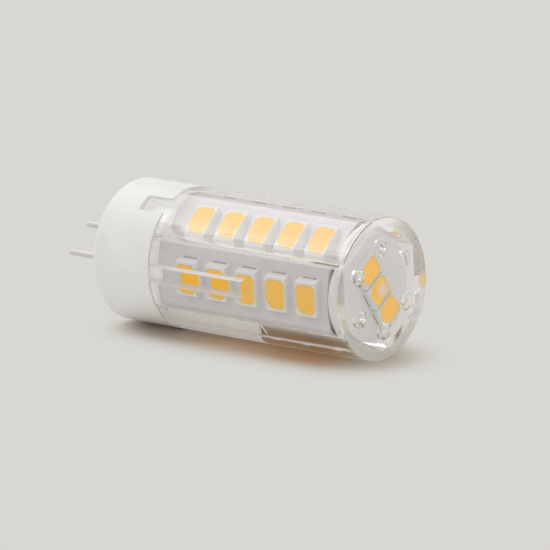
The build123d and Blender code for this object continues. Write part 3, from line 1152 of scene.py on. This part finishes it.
room_colour.inputs["Color"].default_value = (*BACKGROUND, 1.0)
place = nodes.new("ShaderNodeTexCoord")
across = nodes.new("ShaderNodeVectorMath")
across.operation = "DOT_PRODUCT"
across.inputs[1].default_value = UP.cross(Vector((0, 0, 1)))
links.new(place.outputs["Object"], across.inputs[0])
axes = nodes.new("ShaderNodeSeparateXYZ")
links.new(place.outputs["Object"], axes.inputs["Vector"])


def number_node(operation, first, second):
    """A floor node that works out one number from two outputs or numbers."""
    node = nodes.new("ShaderNodeMath")
    node.operation = operation
    for socket, given in zip(node.inputs, (first, second)):
        if isinstance(given, float):
            socket.default_value = given
        else:
            links.new(given, socket)
    return node.outputs["Value"]


def away_from_line(start, end):
    """A floor number that rises from 0 to 1 between two distances from the line of contact."""
    span = nodes.new("ShaderNodeMapRange")
    span.interpolation_type = "SMOOTHSTEP"
    span.inputs["From Min"].default_value = start * MILLIMETRE
    span.inputs["From Max"].default_value = end * MILLIMETRE
    links.new(from_line, span.inputs["Value"])
    return span.outputs["Result"]


before_head = number_node("SUBTRACT", CONTACT_START * MILLIMETRE, axes.outputs["Z"])
past_cup = number_node("SUBTRACT", axes.outputs["Z"], CONTACT_END * MILLIMETRE)
past_ends = number_node("MAXIMUM", number_node("MAXIMUM", before_head, past_cup), 0.0)
flat_place = nodes.new("ShaderNodeCombineXYZ")
links.new(across.outputs["Value"], flat_place.inputs["X"])
links.new(past_ends, flat_place.inputs["Y"])
line_distance = nodes.new("ShaderNodeVectorMath")
line_distance.operation = "LENGTH"
links.new(flat_place.outputs["Vector"], line_distance.inputs[0])
from_line = line_distance.outputs["Value"]
# Painted shadow: near the contact line the paper takes the painted shadow colours, fading to plain paper.
painted_shadow = nodes.new("ShaderNodeMix")
painted_shadow.data_type = "RGBA"
links.new(away_from_line(PAINTED_SHADOW_START, PAINTED_SHADOW_END), painted_shadow.inputs["Factor"])
along_lamp = nodes.new("ShaderNodeMapRange")
along_lamp.inputs["From Max"].default_value = CONTACT_END * MILLIMETRE
links.new(axes.outputs["Z"], along_lamp.inputs["Value"])
painted_shadow_ramp = nodes.new("ShaderNodeValToRGB")
painted_shadow_ramp.color_ramp.interpolation = "EASE"
for height, colour in PAINTED_SHADOW_BY_LAMP[1:-1]:
    painted_shadow_ramp.color_ramp.elements.new(height / CONTACT_END)
for stop, (height, colour) in zip(painted_shadow_ramp.color_ramp.elements, PAINTED_SHADOW_BY_LAMP):
    stop.color = (*colour, 1.0)
links.new(along_lamp.outputs["Result"], painted_shadow_ramp.inputs["Fac"])
links.new(painted_shadow_ramp.outputs["Color"], painted_shadow.inputs["A"])
painted_shadow.inputs["B"].default_value = (*PAPER, 1.0)
links.new(painted_shadow.outputs["Result"], paper.inputs["Base Color"])
faded = nodes.new("ShaderNodeMixShader")
links.new(away_from_line(FADE_START, FADE_END), faded.inputs["Fac"])
links.new(paper.outputs["BSDF"], faded.inputs[1])
links.new(room_colour.outputs["Emission"], faded.inputs[2])
back = nodes.new("ShaderNodeNewGeometry")
clear = nodes.new("ShaderNodeBsdfTransparent")
one_sided = nodes.new("ShaderNodeMixShader")
links.new(back.outputs["Backfacing"], one_sided.inputs["Fac"])
links.new(faded.outputs["Shader"], one_sided.inputs[1])
links.new(clear.outputs["BSDF"], one_sided.inputs[2])
links.new(one_sided.outputs["Shader"], nodes["Material Output"].inputs["Surface"])
dress(floor, floor_finish)

# %% Fill the room with even light
ROOM_STRENGTH = 0.80
world = bpy.data.worlds.new("room")
bpy.context.scene.world = world
world.use_nodes = True
nodes = world.node_tree.nodes
links = world.node_tree.links
fill = nodes["Background"]
fill.inputs["Color"].default_value = (1.0, 0.99, 0.97, 1.0)
fill.inputs["Strength"].default_value = ROOM_STRENGTH
seen = nodes.new("ShaderNodeBackground")
seen.inputs["Color"].default_value = (*BACKGROUND, 1.0)
ray = nodes.new("ShaderNodeLightPath")
camera_or_gloss = nodes.new("ShaderNodeMath")
camera_or_gloss.operation = "MAXIMUM"
links.new(ray.outputs["Is Camera Ray"], camera_or_gloss.inputs[0])
links.new(ray.outputs["Is Glossy Ray"], camera_or_gloss.inputs[1])
seen_ray = nodes.new("ShaderNodeMath")
seen_ray.operation = "MAXIMUM"
links.new(camera_or_gloss.outputs["Value"], seen_ray.inputs[0])
links.new(ray.outputs["Is Transmission Ray"], seen_ray.inputs[1])
mixed = nodes.new("ShaderNodeMixShader")
links.new(seen_ray.outputs["Value"], mixed.inputs["Fac"])
links.new(fill.outputs["Background"], mixed.inputs[1])
links.new(seen.outputs["Background"], mixed.inputs[2])
links.new(mixed.outputs["Shader"], nodes["World Output"].inputs["Surface"])

# %% Hang the soft light over the lamp
LIGHT_AIM_HEIGHT = 0.02
LIGHT_DIRECTION = Vector((-0.5119, 0.6097, 0.606)).normalized()
LIGHT_DISTANCE = 0.5
LIGHT_SIDE = 0.50
LIGHT_POWER = 0.635
light_data = bpy.data.lights.new("softbox", "AREA")
light_data.shape = "DISK"
light_data.size = LIGHT_SIDE
light_data.energy = LIGHT_POWER
light_data.color = (0.975, 0.99, 1.0)
light = bpy.data.objects.new("softbox", light_data)
bpy.context.scene.collection.objects.link(light)
light.location = LIGHT_DIRECTION * LIGHT_DISTANCE + Vector((0, 0, LIGHT_AIM_HEIGHT))
light.rotation_euler = LIGHT_DIRECTION.to_track_quat("Z", "Y").to_euler()
light.visible_camera = False

# %% [markdown]
# ## Last settings
# A ray that enters the clear cover's wall is thrown back inside it many times before it leaves. With the
# usual number of bounces such rays end black, so the scene allows many more.

# %% Set the view and the bounces
scene = bpy.context.scene
scene.view_settings.view_transform = "Standard"
scene.cycles.use_denoising = True
scene.cycles.max_bounces = 40
scene.cycles.transmission_bounces = 32
scene.cycles.transparent_max_bounces = 24
scene.cycles.glossy_bounces = 32
scene.cycles.diffuse_bounces = 5
